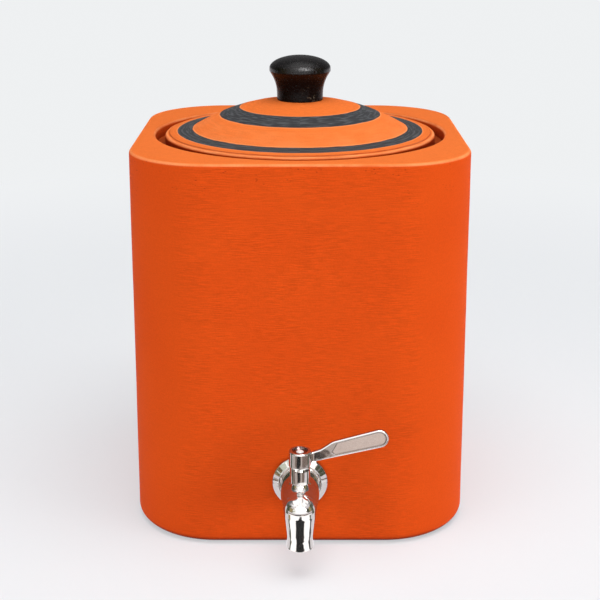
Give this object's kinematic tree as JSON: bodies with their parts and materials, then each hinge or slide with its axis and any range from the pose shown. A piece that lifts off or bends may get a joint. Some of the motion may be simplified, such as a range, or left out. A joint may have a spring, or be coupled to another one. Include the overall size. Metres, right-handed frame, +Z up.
{
  "type": "clay water pot with tap",
  "caption": "Square clay water pot with a recessed domed lid, a turned knob and a lever ball-valve tap low on its front.",
  "frame": {"origin": "centre of the pot's flat base, on the surface that it stands on", "axes": "+Z up; the tap is on the -Y side; +X to the right when the tap is faced, where the lever points when shut"},
  "size_m": [0.2558, 0.3115, 0.3493],
  "materials": {
    "terracotta": "unglazed, finely wiped",
    "black_lacquer": "black lacquer, semi-gloss",
    "polished_steel": "mirror polished",
    "plain_steel": "turned",
    "black_rubber": "moulded, matt",
    "white_ptfe": "machined"
  },
  "bodies": {
    "pot": {"clay_pot": "terracotta", "outer_gasket": "black_rubber", "wall_flange": "polished_steel", "inner_gasket": "black_rubber", "inner_washer": "plain_steel", "lock_nut": "plain_steel", "tap_shank": "polished_steel", "tap_body": "polished_steel", "body_o_ring": "black_rubber", "seat_front": "white_ptfe", "seat_rear": "white_ptfe", "stem_thrust_washer": "white_ptfe", "bonnet": "polished_steel"},
    "lid": {"clay_lid": "terracotta", "lid_knob": "black_lacquer", "knob_cushion": "black_rubber", "knob_washer": "plain_steel", "knob_screw": "plain_steel"},
    "tap_handle": {"lever_handle": "polished_steel", "valve_stem": "plain_steel", "valve_ball": "plain_steel", "stem_o_rings": "black_rubber", "handle_screw": "plain_steel", "index_button": "polished_steel"}
  },
  "joints": [
    {"name": "lid_lift", "type": "slide", "parent": "pot", "child": "lid", "axis": [0, 0, 1], "range_m": [0, 0.08]},
    {"name": "handle_turn", "type": "hinge", "parent": "pot", "child": "tap_handle", "pos_m": [0, -0.15996, 0.0524], "axis": [0, 0, 1], "range_deg": [-90, 0]}
  ]
}
